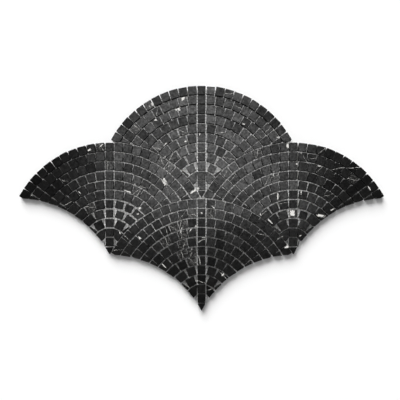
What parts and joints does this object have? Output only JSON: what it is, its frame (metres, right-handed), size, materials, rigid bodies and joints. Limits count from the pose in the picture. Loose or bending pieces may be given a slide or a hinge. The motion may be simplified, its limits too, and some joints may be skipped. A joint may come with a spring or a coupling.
{
  "type": "honed marble fan mosaic sheet",
  "caption": "Scalloped sheet of square honed black marble chips laid in overlapping fans on a mesh backing, for facing a floor or wall.",
  "frame": {"origin": "middle of the sheet's box, on the back of the mesh that is bedded in adhesive", "axes": "+X along the sheet's longer side, +Y towards the crowns of the fans, +Z out of the honed face"},
  "size_m": [0.6436, 0.3968, 0.0105],
  "materials": {
    "black_marble": "honed",
    "glass_mesh": "matte"
  },
  "bodies": {
    "root": {"bottom_fan_course_01": "black_marble", "bottom_fan_course_02": "black_marble", "bottom_fan_course_03": "black_marble", "bottom_fan_course_04": "black_marble", "bottom_fan_course_05": "black_marble", "bottom_fan_course_06": "black_marble", "bottom_fan_course_07": "black_marble", "bottom_fan_course_08": "black_marble", "bottom_fan_course_09": "black_marble", "bottom_fan_course_10": "black_marble", "bottom_fan_neck_01": "black_marble", "bottom_fan_point": "black_marble", "left_fan_course_01": "black_marble", "left_fan_course_02": "black_marble", "left_fan_course_03": "black_marble", "left_fan_course_04": "black_marble", "left_fan_course_05": "black_marble", "left_fan_course_06": "black_marble", "left_fan_course_07": "black_marble", "left_fan_course_08": "black_marble", "left_fan_course_09": "black_marble", "left_fan_course_10": "black_marble", "left_fan_neck_01": "black_marble", "left_fan_point": "black_marble", "mesh_backing": "glass_mesh", "right_fan_course_01": "black_marble", "right_fan_course_02": "black_marble", "right_fan_course_03": "black_marble", "right_fan_course_04": "black_marble", "right_fan_course_05": "black_marble", "right_fan_course_06": "black_marble", "right_fan_course_07": "black_marble", "right_fan_course_08": "black_marble", "right_fan_course_09": "black_marble", "right_fan_course_10": "black_marble", "right_fan_neck_01": "black_marble", "right_fan_point": "black_marble", "top_fan_course_01": "black_marble", "top_fan_course_02": "black_marble", "top_fan_course_03": "black_marble", "top_fan_course_04": "black_marble", "top_fan_course_05": "black_marble", "top_fan_course_06": "black_marble", "top_fan_course_07": "black_marble", "top_fan_course_08": "black_marble", "top_fan_course_09": "black_marble", "top_fan_course_10": "black_marble", "top_fan_neck_01": "black_marble", "top_fan_point": "black_marble"}
  },
  "joints": []
}
